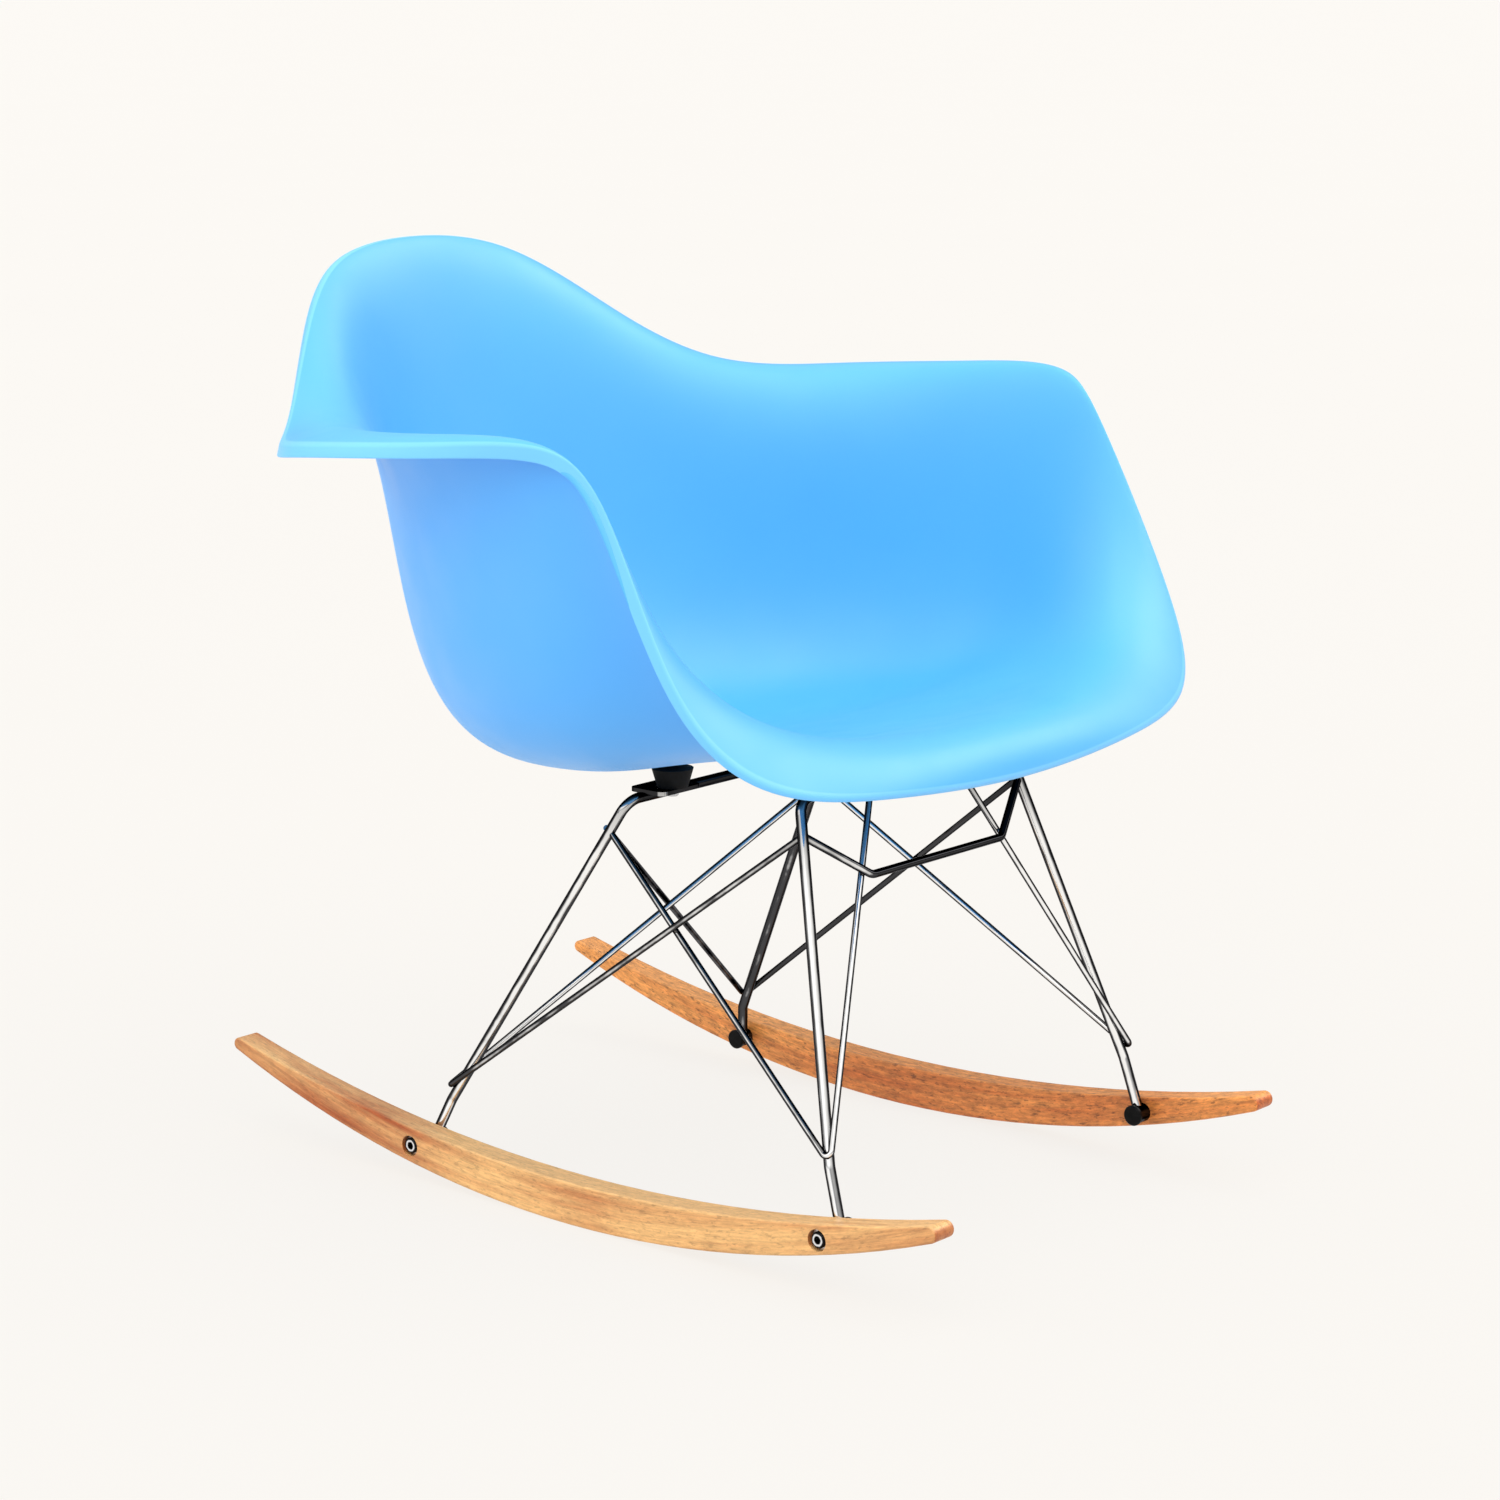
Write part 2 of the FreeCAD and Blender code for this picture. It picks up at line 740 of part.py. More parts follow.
def make_mount(end, side, sign, frame):
    """One place where the base carries the shell: plate, rubber mount, insert, washer and screw."""
    plate = mount_plate(end, side, sign, frame)
    x = f"{end}_mount_x"
    y = f"{sign} * mount_y"
    top_of_plate = plate_level(end) + " + plate_thickness"
    collar_top = "insert_length - insert_flange_thickness"
    rubber = turned_body(
        f"{end}_{side}_shock_mount",
        (
            ("insert_barrel_diameter / 2", "0"),
            ("mount_base_diameter / 2", "0"),
            ("mount_top_diameter / 2", "mount_height"),
            ("0", "mount_height"),
            ("0", "insert_length"),
            ("insert_flange_diameter / 2", "insert_length"),
            ("insert_flange_diameter / 2", collar_top),
            ("insert_barrel_diameter / 2", collar_top),
        ),
    )
    bind_place(rubber, x, y, top_of_plate)
    insert = turned_body(
        f"{end}_{side}_insert",
        (
            ("insert_bore / 2", "0"),
            ("insert_barrel_diameter / 2", "0"),
            ("insert_barrel_diameter / 2", collar_top),
            ("insert_flange_diameter / 2", collar_top),
            ("insert_flange_diameter / 2", "insert_length"),
            ("insert_bore / 2", "insert_length"),
        ),
    )
    bind_place(insert, x, y, top_of_plate)
    ring = washer(f"{end}_{side}_mount_washer", "small_washer")
    bind_place(ring, x, y, plate_level(end) + " - small_washer_thickness")
    screw = socket_screw(f"{end}_{side}_mount_screw", "screw")
    bind_place(screw, x, y, plate_level(end) + " - small_washer_thickness")
    return plate, rubber, insert, ring, screw


# Shell

GUIDE_ORDER = ("corner", "wall", "shoulder", "rim")
WALL_THICKNESS = (
    "seat_thickness",
    "seat_thickness",
    "corner_thickness",
    "wall_thickness",
    "wall_thickness",
    "wall_thickness",
)
SKIN_KNOTS = [0, 0, 0, 0, 1, 2, 3, 3, 3, 3]
LIP_KNOTS = (2.85, 2.93)
DEGREE = 3


def low_point():
    return Vector(size("seat_low_x"), 0, size("seat_low_z"))


def floor_point(corner):
    """A point of the seat's floor row, on the sloping floor between the low point and the corner ring."""
    low = low_point()
    point = low + (corner - low) * size("floor_share")
    point.z = low.z + (point.x - low.x) * size("seat_slope")
    return point


def all_round(half):
    """The values of the stations from the front centre to the back centre, and of their mirror places."""
    return half + half[-2:0:-1]


def closed_ring(ring):
    """A guide ring's points, all the way round."""
    start = size("stretch_start_z")
    widening = size("shell_half_width") / size("rim_arm_middle_y")
    stretch = (size("back_height") - start) / (size("rim_back_centre_z") - start)
    half = []
    for station in STATIONS:
        x, y, z = (size(f"{ring}_{station}_{axis}") for axis in "xyz")
        if z > start:
            z = start + (z - start) * stretch
        half.append(Vector(x, y * widening, z))
    ring_points = all_round(half)
    for k in range(len(half), len(ring_points)):
        ring_points[k] = Vector(ring_points[k].x, -ring_points[k].y, ring_points[k].z)
    return ring_points


def add_row(rows, knots, new):
    """Add one knot across the rows and keep the same surface: each row near it blends two old ones."""
    span = max(k for k, knot in enumerate(knots) if knot <= new)
    finer = []
    for k in range(len(rows) + 1):
        if k <= span - DEGREE:
            finer.append(rows[k])
        elif k > span:
            finer.append(rows[k - 1])
        else:
            share = (new - knots[k]) / (knots[k + DEGREE] - knots[k])
            finer.append([a * (1 - share) + b * share for a, b in zip(rows[k - 1], rows[k])])
    return finer, knots[: span + 1] + [new] + knots[span + 1 :]


def skin_through(rows, knots):
    """The smooth surface from the low point, which is the first row, through the others to the rim."""
    poles = []
    for points in rows[1:]:
        curve = Part.BSplineCurve()
        places = list(range(len(points) + 1))
        curve.interpolate(Points=points, PeriodicFlag=True, Parameters=places)
        poles.append(curve.getPoles())
    poles.insert(0, [rows[0][0]] * len(poles[0]))
    distinct = sorted(set(knots))
    surface = Part.BSplineSurface()
    surface.buildFromPolesMultsKnots(
        poles,
        [knots.count(knot) for knot in distinct],
        curve.getMultiplicities(),
        distinct,
        curve.getKnots(),
        False,
        True,
        DEGREE,
        DEGREE,
    )
    return surface


def lip_offset(surface, place, station, depth, lean):
    """A step away from the sitter that leans outward over the rim."""
    outward = surface.tangent(place, station)[0].normalize()
    return (outward * lean - surface.normal(place, station)).normalize() * depth


def offset_skin(surface, rows, knots, share):
    """The same surface, moved away from the sitter by a share of the wall's local thickness."""
    floor_normal = Vector(-size("seat_slope"), 0, 1).normalize()
    low = low_point() - floor_normal * (share * size("seat_thickness"))
    moved = [[low] * len(rows[0])]
    centres = [sum(knots[k + 1 : k + DEGREE + 1]) / DEGREE for k in range(len(rows))]
    walls = len(WALL_THICKNESS)
    for points, place, thickness in zip(rows[1:walls], centres[1:walls], WALL_THICKNESS[1:]):
        depth = share * size(thickness)
        moved.append(
            [point - surface.normal(place, k) * depth for k, point in enumerate(points)]
        )
    depths = all_round([share * size(f"lip_{station}") for station in STATIONS])
    for points, place, blend, lean in (
        (rows[-2], centres[-2], size("lip_blend"), size("lip_blend_lean")),
        (rows[-1], centres[-1], 1, size("lip_lean")),
    ):
        moved.append(
            [
                point + lip_offset(surface, place, k, blend * depth, lean)
                for k, (point, depth) in enumerate(zip(points, depths))
            ]
        )
    return skin_through(moved, knots)


def make_boss(surface, end, sign):
    """A flat-faced boss under the seat for one mount, ending inside the shell's wall."""
    face_level = evaluate(plate_level(end) + " + plate_thickness + mount_height")
    foot = Vector(size(f"{end}_mount_x"), sign * size("mount_y"), face_level)
    line = Part.Line(foot, foot + UP)
    crossing = line.intersect(surface)[0][0]
    place = Vector(crossing.X, crossing.Y, crossing.Z)
    height = place.z - face_level + size("boss_diameter")
    post = Part.makeCylinder(size("boss_diameter") / 2, height, foot)
    normal = surface.normal(*surface.parameter(place))
    if normal.z < 0:
        normal = -normal
    side = 4 * size("boss_diameter")
    above = Part.makeBox(side, side, side, Vector(-side / 2, -side / 2, 0))
    above.Placement = FreeCAD.Placement(place, FreeCAD.Rotation(UP, normal)).multiply(above.Placement)
    return post.cut(above)


def make_shell():
    """The one-piece moulded seat: two skins joined round the rim, with four mount bosses below."""
    rings = [closed_ring(ring) for ring in GUIDE_ORDER]
    floor = [floor_point(point) for point in rings[0]]
    rows = [[low_point()] * len(floor), floor] + rings
    knots = SKIN_KNOTS
    for knot in LIP_KNOTS:
        rows, knots = add_row(rows, knots, knot)
    inner = skin_through(rows, knots)
    outer = offset_skin(inner, rows, knots, 1)
    middle = offset_skin(inner, rows, knots, 1 / 2)
    rim = knots[-1]
    edge = Part.makeRuledSurface(inner.uIso(rim).toShape(), outer.uIso(rim).toShape())
    skins = Part.makeShell([inner.toShape(), outer.toShape(), edge])
    skins.sewShape()
    solid = Part.Solid(skins)
    solid.fix(1e-4, 1e-4, 1e-4)
    if solid.Volume < 0:
        solid.reverse()
    bosses = [make_boss(middle, end, sign) for end in ("rear", "front") for sign in SIDES.values()]
    shell = doc.addObject("Part::Feature", "seat_shell")
    shell.Label = "seat_shell"
    shell.Shape = solid.fuse(bosses)
    shell.Placement = FreeCAD.Placement()
    return shell


# Assembly


def main():
    pieces = [make_rocker(side, sign) for side, sign in SIDES.items()]
    frames = {end: make_leg_frame(end) for end in ("rear", "front")}
    pieces += frames.values()
    both_frames = doc.addObject("Part::Compound", "leg_frames")
    both_frames.Links = list(frames.values())
    for side, sign in SIDES.items():
        pieces.append(make_front_brace(side, sign, both_frames))
        pieces.append(make_rear_brace(side, sign, both_frames))
    pieces.append(make_stretcher(frames["front"]))
    groups = {
        "rocker_bolts": [],
        "bolt_washers": [],
        "mount_inserts": [],
        "mount_washers": [],
        "mount_screws": [],
    }
    for end, frame in frames.items():
        for side, sign in SIDES.items():
            barrel, cap, ring, bolt = make_foot(end, side, sign)
            pieces += [barrel, cap]
            groups["bolt_washers"].append(ring)
            groups["rocker_bolts"].append(bolt)
            plate, rubber, insert, small_ring, screw = make_mount(end, side, sign, frame)
            pieces += [plate, rubber]
            groups["mount_inserts"].append(insert)
            groups["mount_washers"].append(small_ring)
            groups["mount_screws"].append(screw)
    pieces += [group(name, members) for name, members in groups.items()]
    pieces.append(make_shell())
    doc.recompute()
    for thing in doc.Objects:
        if "Invalid" in thing.State or "Error" in thing.State:
            raise RuntimeError(f"{thing.Label} did not compute: {thing.State}")
    for piece in pieces:
        if piece.Shape.isNull() or not piece.Shape.isValid():
            raise RuntimeError(f"{piece.Label} has no valid shape")
        if not piece.Shape.Solids:
            raise RuntimeError(f"{piece.Label} holds no solid")
        piece.Shape.exportStep(f"parts/{piece.Label}.step")
        box = piece.Shape.BoundBox
        print(
            f"{piece.Label}: {len(piece.Shape.Solids)} solids, {piece.Shape.Volume:.0f} mm3, "
            f"x {box.XMin:.1f} {box.XMax:.1f}, y {box.YMin:.1f} {box.YMax:.1f}, "
            f"z {box.ZMin:.1f} {box.ZMax:.1f}"
        )


main()
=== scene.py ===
import bpy
import bmesh
import json
import math
import numpy as np
from mathutils import Matrix, Vector


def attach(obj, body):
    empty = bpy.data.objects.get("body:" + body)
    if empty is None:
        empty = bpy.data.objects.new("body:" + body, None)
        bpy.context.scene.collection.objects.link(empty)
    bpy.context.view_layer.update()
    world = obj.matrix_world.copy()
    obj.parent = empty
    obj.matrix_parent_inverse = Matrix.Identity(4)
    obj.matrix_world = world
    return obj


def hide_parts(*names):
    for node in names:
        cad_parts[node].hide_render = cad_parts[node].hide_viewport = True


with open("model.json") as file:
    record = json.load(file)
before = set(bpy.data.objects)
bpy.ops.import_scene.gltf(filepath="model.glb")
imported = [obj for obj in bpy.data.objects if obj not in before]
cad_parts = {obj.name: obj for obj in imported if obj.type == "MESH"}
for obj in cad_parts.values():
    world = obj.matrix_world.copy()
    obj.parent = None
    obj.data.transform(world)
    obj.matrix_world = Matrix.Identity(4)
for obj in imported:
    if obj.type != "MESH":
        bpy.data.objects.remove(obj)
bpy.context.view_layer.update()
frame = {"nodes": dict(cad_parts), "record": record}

MM = 0.001


def add_object(name, data):
    """A new object in the scene."""
    item = bpy.data.objects.new(name, data)
    bpy.context.scene.collection.objects.link(item)
    return item


def mesh_data(name, mesh):
    """The finished mesh of a bmesh."""
    data = bpy.data.meshes.new(name)
    mesh.to_mesh(data)
    mesh.free()
    return data


# Camera, fitted to the outlines in the photograph

CAMERA_PLACE = (1.8478, -2.1586, 0.9158)
LOOK = Vector((-0.63864, 0.74222, -0.20341)).normalized()
ROLL = math.radians(-0.189)
SENSOR_WIDTH = 36
FOCAL_LENGTH = 93.42
SHIFT = (0.0073, -0.00683)
FAR_CLIP = 100


def add_camera():
    """A long lens at the photograph's place, level but for a slight roll."""
    level = LOOK.cross(Vector((0, 0, 1))).normalized()
    upright = level.cross(LOOK)
    across = level * math.cos(ROLL) + upright * math.sin(ROLL)
    upward = across.cross(LOOK)
    data = bpy.data.cameras.new("camera")
    data.sensor_width = SENSOR_WIDTH
    data.lens = FOCAL_LENGTH
    data.shift_x, data.shift_y = SHIFT
    data.clip_end = FAR_CLIP
    camera = add_object("camera", data)
    turn = Matrix((across, upward, -LOOK)).transposed().to_4x4()
    camera.matrix_world = Matrix.Translation(CAMERA_PLACE) @ turn
    bpy.context.scene.camera = camera


# Materials. Most of a noise lies between these two values.

NOISE_LOW = 0.3
NOISE_HIGH = 0.7


def grey(value):
    return (value, value, value)


class Nodes:
    """Adds nodes to one material or world, and joins them."""

    def __init__(self, block, shader, output):
        self.block = block
        block.use_nodes = True
        self.tree = block.node_tree
        self.tree.nodes.clear()
        self.shader = self.add(shader)
        self.add(output, {"Surface": self.shader.outputs[0]})

    def fill(self, node, values):
        """Set a node's inputs, or join them to other nodes."""
        for key, value in values.items():
            socket = node.inputs[key]
            if isinstance(value, bpy.types.NodeSocket):
                self.tree.links.new(value, socket)
            else:
                socket.default_value = value

    def add(self, kind, values=None, **settings):
        """A new node with its settings and inputs."""
        node = self.tree.nodes.new("ShaderNode" + kind)
        for key, value in settings.items():
            setattr(node, key, value)
        self.fill(node, values or {})
        return node

    def dress(self, **values):
        """Fill the shader's inputs, named with _ for a space, and give the material or world."""
        self.fill(self.shader, {key.replace("_", " "): value for key, value in values.items()})
        return self.block

    def math(self, operation, *values):
        return self.add("Math", dict(enumerate(values)), operation=operation).outputs[0]

    def length(self, first, second):
        """The distance that two steps at right angles make."""
        squared = self.math("MULTIPLY_ADD", first, first, self.math("MULTIPLY", second, second))
        return self.math("POWER", squared, 0.5)

    def sway(self, value, noise, amount):
        """A value moved up and down by a noise."""
        return self.math("MULTIPLY_ADD", self.math("SUBTRACT", noise, 0.5), amount, value)

    def span(self, value, low, high, start, end):
        """A value from low to high, rescaled to start to end and held there."""
        keys = {"Value": value, "From Min": low, "From Max": high, "To Min": start, "To Max": end}
        return self.add("MapRange", keys).outputs[0]

    def vary(self, noise, start, end):
        """A noise, rescaled to start to end."""
        return self.span(noise, NOISE_LOW, NOISE_HIGH, start, end)

    def parts(self, vector):
        return self.add("SeparateXYZ", {0: vector}).outputs

    def joined(self, *parts):
        return self.add("CombineXYZ", dict(enumerate(parts))).outputs[0]

    def vector(self, operation, first, second):
        values = {0: first, 1: second}
        return self.add("VectorMath", values, operation=operation).outputs[0]

    def scaled(self, colour, factor):
        values = {0: colour, "Scale": factor}
        return self.add("VectorMath", values, operation="SCALE").outputs[0]

    def ramp(self, factor, stops):
        """A colour for each place along a factor, blended between the stops."""
        node = self.add("ValToRGB", {0: factor})
        ramp = node.color_ramp
        while len(ramp.elements) < len(stops):
            ramp.elements.new(0.5)
        for element, (place, colour) in zip(ramp.elements, stops):
            element.position = place
            element.color = (*colour, 1)
        return node.outputs[0]

    def noise(self, vector, scale, detail=2.0, roughness=0.5, distortion=0.0):
        """A cloudy pattern, finer with a higher scale."""
        values = {
            "Vector": vector,
            "Scale": scale,
            "Detail": detail,
            "Roughness": roughness,
            "Distortion": distortion,
        }
        return self.add("TexNoise", values).outputs[0]

    def bump(self, height, distance, strength=1.0, **under):
        """The surface's direction over small hills, distance metres high."""
        values = {"Height": height, "Distance": distance, "Strength": strength, **under}
        return self.add("Bump", values).outputs[0]

    def facing(self):
        """The three parts of the surface's own direction."""
        return self.parts(self.add("NewGeometry").outputs["Normal"])

    def place(self):
        """Where a point of the surface is, in metres."""
        return self.add("TexCoord").outputs["Object"]


def surface(name):
    """The nodes of a new material."""
    return Nodes(bpy.data.materials.new(name), "BsdfPrincipled", "OutputMaterial")


# Shell plastic: its two blues, and the painted highlight that the edge of its lip adds to them

SHELL_BLUES = ((NOISE_LOW, (0.060, 0.408, 0.97)), (NOISE_HIGH, (0.068, 0.428, 1.0)))
PAINTED_EDGE_HIGHLIGHT = ((0.0, grey(0)), (1.0, (0.075, 0.11, 0)))


def shell_plastic():
    """Satin moulded plastic: a very fine grain, a slow waviness, a soft sheen and a painted
    highlight on the lip's edge.
    """
    m = surface("moulded_plastic")
    where = m.place()
    slow = m.noise(where, scale=7)
    smudge = m.noise(where, scale=22, detail=3)
    grain = m.noise(where, scale=2600, roughness=0.6)
    edge = m.add("Attribute", attribute_name="lip_edge").outputs["Fac"]
    wave = m.bump(slow, distance=0.0009)
    return m.dress(
        # The edge of the lip is painted paler: a painted highlight where light catches the edge
        # band.
        Base_Color=m.vector("ADD", m.ramp(slow, SHELL_BLUES), m.ramp(edge, PAINTED_EDGE_HIGHLIGHT)),
        Roughness=m.vary(smudge, 0.40, 0.50),
        Normal=m.bump(grain, distance=0.00005, Normal=wave),
        IOR=1.49,
        Sheen_Weight=0.06,
        Sheen_Roughness=0.45,
        Specular_IOR_Level=0.8,
    )


# Beech: the radius of the rockers' bow and the x of their tips, in metres

BOW_RADIUS = 0.967
REAR_TIP = -0.353
FRONT_TIP = 0.337

# How much of a step along x the patterns count, so that fibres and pores are drawn out lengthwise

FIBRE_STEP = 0.05
PORE_STEP = 0.3

# How a face darkens as it turns toward a tip

END_GRAIN = ((0.62, grey(1)), (0.84, (0.74, 0.5, 0.4)))

# Each rocker's two colours, how much of the second one shows from its rear tip to its front one,
# and how strongly its pores show

RIGHT_BEECH = {
    "pale": (0.82, 0.465, 0.175),
    "honey": (0.40, 0.085, 0.012),
    "honeyed": (
        (0.0, grey(1.0)),
        (0.2, grey(0.95)),
        (0.36, grey(0.25)),
        (0.72, grey(0.12)),
        (0.95, grey(0.3)),
    ),
    "speckle": 0.7,
}
# The left rocker, on the far side, is redder and darker: partly another piece of wood, partly
# painted shade.
LEFT_BEECH = {
    "pale": (0.90, 0.35, 0.080),
    "honey": (0.54, 0.138, 0.025),
    "honeyed": (
        (0.0, grey(0.0)),
        (0.3, grey(0.35)),
        (0.45, grey(0.8)),
        (0.7, grey(0.8)),
        (0.95, grey(0.55)),
    ),
    "speckle": 1.5,
}


def beech(name, pale, honey, honeyed, speckle):
    """Oiled beech: the grain follows the bow, pores speckle it, the round tips are darker, and the
    tops are painted paler, a painted light from above.
    """
    m = surface(name)
    where = m.place()
    x, y, z = m.parts(where)
    ring = m.math("SUBTRACT", BOW_RADIUS, m.length(x, m.math("SUBTRACT", z, BOW_RADIUS)))
    fibre = m.joined(m.math("MULTIPLY", x, FIBRE_STEP), y, ring)
    fleck = m.joined(m.math("MULTIPLY", x, PORE_STEP), y, ring)
    bands = m.noise(fibre, scale=110, detail=4, roughness=0.55, distortion=0.3)
    threads = m.noise(fibre, scale=950, detail=3, roughness=0.65)
    flecks = m.noise(fleck, scale=560, detail=3, roughness=0.6)
    pores = m.noise(fleck, scale=330, detail=4, roughness=0.7)
    drift = m.noise(where, scale=9)
    end_x, _, top_z = m.facing()

    share = m.ramp(m.span(x, REAR_TIP, FRONT_TIP, 0, 1), honeyed)
    share = m.sway(share, drift, amount=0.9)
    # Painted light: faces that look up get less honey, so the tops are paler.
    share = m.math("SUBTRACT", share, m.span(top_z, low=0.4, high=0.9, start=0, end=0.35))
    share = m.sway(share, bands, amount=1.6)
    colour = m.ramp(share, ((0.0, pale), (1.0, honey)))

    shade = m.vary(threads, start=0.78, end=1.12)
    mottle = m.vary(pores, start=1 - 0.3 * speckle, end=1 + 0.18 * speckle)
    marks = m.span(flecks, low=0.58, high=0.66, start=1.0, end=1 - 0.35 * speckle)
    tone = m.math("MULTIPLY", m.math("MULTIPLY", shade, mottle), marks)
    end_grain = m.ramp(m.math("ABSOLUTE", end_x), END_GRAIN)
    return m.dress(
        Base_Color=m.vector("MULTIPLY", m.scaled(colour, tone), end_grain),
        Roughness=m.vary(bands, 0.36, 0.5),
        Normal=m.bump(threads, distance=0.0002, strength=0.6),
    )


# Chrome: its painted reflection, a tone from where it faces the eye to where it turns away

PAINTED_CHROME_REFLECTION = (
    (0.0, grey(0.95)),
    (0.13, grey(0.95)),
    (0.24, (0.07, 0.07, 0.075)),
    (0.55, grey(0.03)),
    (0.74, (0.32, 0.32, 0.33)),
    (0.9, grey(0.05)),
)


def chrome():
    """Bright chrome with a painted reflection: pale where it faces the eye, with dark lines toward
    each edge.

    Its colour is also painted darker near the seat and where it looks up, a painted reflection and
    shade of the seat's underside.
    """
    m = surface("chrome_plate")
    where = m.place()
    haze = m.noise(where, scale=60, detail=3)
    ripple = m.noise(where, scale=35)
    # Painted reflection: the tone follows how far the surface turns from the eye.
    turned = m.add("LayerWeight", {"Blend": 0.5}).outputs["Facing"]
    tone = m.ramp(m.sway(turned, haze, amount=0.25), PAINTED_CHROME_REFLECTION)
    # Painted reflection and shade of the seat's underside: darker near the seat and where the
    # chrome looks up.
    painted_seat_reflection = m.span(m.parts(where)[2], low=0.255, high=0.305, start=1.0, end=0.45)
    upward = m.span(m.facing()[2], low=0.42, high=0.62, start=1.0, end=0.12)
    return m.dress(
        Base_Color=m.scaled(tone, m.math("MULTIPLY", upward, painted_seat_reflection)),
        Roughness=m.vary(haze, 0.05, 0.11),
        Normal=m.bump(ripple, distance=0.0004, strength=0.5),
        Metallic=1.0,
        Specular_Tint=(0.2, 0.2, 0.21, 1),
    )


# Rocker bolts: where they sit, seen from the side, how far their heads reach, both in metres, and
# the painted shade and painted highlight in rings round the socket, in shares of that reach

BOLT_PLACES = ((-0.160, 0.0264), (0.235, 0.040))
HEAD_REACH = 0.006
BOLT_PAINTED_SHADE = (0.012, 0.012, 0.013)
BOLT_PAINTED_HIGHLIGHT = (0.82, 0.82, 0.83)
BOLT_SHADE_AND_HIGHLIGHT = ((0.46, BOLT_PAINTED_SHADE), (0.54, BOLT_PAINTED_HIGHLIGHT), (0.68, BOLT_PAINTED_HIGHLIGHT), (0.76, BOLT_PAINTED_SHADE))


def bolt_steel():
    """Rocker bolts with painted shade, black in the socket and the counterbore round the head, and
    a painted highlight in a bright ring round the socket.
    """
    m = surface("bolt_steel_painted_light")
    where = m.place()
    x, _, z = m.parts(where)
    away = [
        m.length(m.math("SUBTRACT", x, bolt_x), m.math("SUBTRACT", z, bolt_z))
        for bolt_x, bolt_z in BOLT_PLACES
    ]
    patch = m.noise(where, scale=500, detail=3)
    uneven = m.sway(m.math("MINIMUM", *away), patch, amount=0.0012)
    return m.dress(
        # Painted shade and highlight: black in the socket and round the head, a bright ring between
        # them.
        Base_Color=m.ramp(m.span(uneven, 0, HEAD_REACH, 0, 1), BOLT_SHADE_AND_HIGHLIGHT),
        Roughness=m.vary(patch, 0.22, 0.34),
        Normal=m.bump(m.noise(where, scale=1600), distance=0.00005, strength=0.6),
        Metallic=1.0,
    )


def speckled(name, scale, detail, colours, roughness, grain, grain_depth, **fixed):
    """A plain material whose colour and roughness vary in patches, over a fine grain.

    grain is the grain's scale and detail, and grain_depth its height in metres.
    """
    m = surface(name)
    where = m.place()
    patch = m.noise(where, scale, detail)
    return m.dress(
        Base_Color=m.ramp(patch, colours),
        Roughness=m.vary(patch, *roughness),
        Normal=m.bump(m.noise(where, *grain), grain_depth, strength=0.6),
        **fixed,
    )


def zinc():
    """Zinc plate with a fine spangle, on the washers, inserts and screws."""
    return speckled(
        "bright_zinc",
        scale=420,
        detail=3,
        colours=((NOISE_LOW, (0.50, 0.51, 0.53)), (NOISE_HIGH, (0.66, 0.66, 0.67))),
        roughness=(0.2, 0.34),
        grain=(1800, 2),
        grain_depth=0.00005,
        Metallic=1.0,
    )


def black_rubber():
    """Dull rubber with a faint bloom."""
    return speckled(
        "black_rubber",
        scale=160,
        detail=4,
        colours=((0.35, grey(0.004)), (0.75, grey(0.011))),
        roughness=(0.62, 0.8),
        grain=(1500, 3),
        grain_depth=0.0001,
        Specular_IOR_Level=0.15,
    )


def black_plastic():
    """Black plastic caps with faint scuffs."""
    return speckled(
        "black_cap_plastic",
        scale=240,
        detail=4,
        colours=((0.35, grey(0.002)), (0.75, grey(0.006))),
        roughness=(0.3, 0.44),
        grain=(1900, 2),
        grain_depth=0.00006,
        Specular_IOR_Level=0.08,
    )


def dress_nodes():
    """Every CAD node that stays in view gets its own material, or that of its slot."""
    by_slot = {
        "chrome_rod": chrome(),
        "zinc_steel": zinc(),
        "black_rubber": black_rubber(),
        "black_plastic": black_plastic(),
    }
    by_node = {
        "right_rocker": beech("beech_pale", **RIGHT_BEECH),
        "left_rocker": beech("beech_dark_and_shaded", **LEFT_BEECH),
        "rocker_bolts": bolt_steel(),
    }
    for part in frame["record"]["subparts"]:
        material = by_node.get(part["node"]) or by_slot.get(part["material_slot"])
        if material:
            for place in frame["nodes"][part["node"]].material_slots:
                place.material = material


# Shell: guide rings from the front centre round the left side to the back centre, in millimetres

RINGS = {
    "corner": (
        (134, 0, 347),
        (127, 87, 348),
        (108, 157, 352),
        (80, 202, 350),
        (43, 225, 340),
        (-5, 230, 330),
        (-64, 222, 325),
        (-125, 199, 322),
        (-181, 160, 323),
        (-220, 110, 324),
        (-242, 55, 325),
        (-249, 0, 326),
    ),
    "wall": (
        (203, 0, 369),
        (191, 93, 371),
        (165, 173, 383),
        (128, 224, 410),
        (82, 252, 442),
        (26, 258, 470),
        (-48, 245, 487),
        (-124, 214, 500),
        (-196, 167, 512),
        (-252, 114, 516),
        (-284, 57, 515),
        (-296, 0, 514),
    ),
    "shoulder": (
        (253, 0, 370),
        (240, 118, 375),
        (206, 208, 402),
        (161, 260, 465),
        (110, 280, 553),
        (49, 285, 598),
        (-39, 275, 599),
        (-131, 242, 594),
        (-211, 193, 604),
        (-275, 137, 635),
        (-315, 72, 662),
        (-328, 0, 674),
    ),
    "rim": (
        (258, 0, 336),
        (252, 136, 343),
        (227, 238, 361),
        (178, 283, 428),
        (116, 284, 544),
        (63, 300, 581),
        (-26, 314, 576),
        (-154, 307, 565),
        (-236, 240, 566),
        (-297, 160, 625),
        (-335, 88, 671),
        (-346, 0, 683),
    ),
}

# The seat's low point, how much it rises toward the front there, and how far out that flat part
# goes, as a share of the way to the first ring

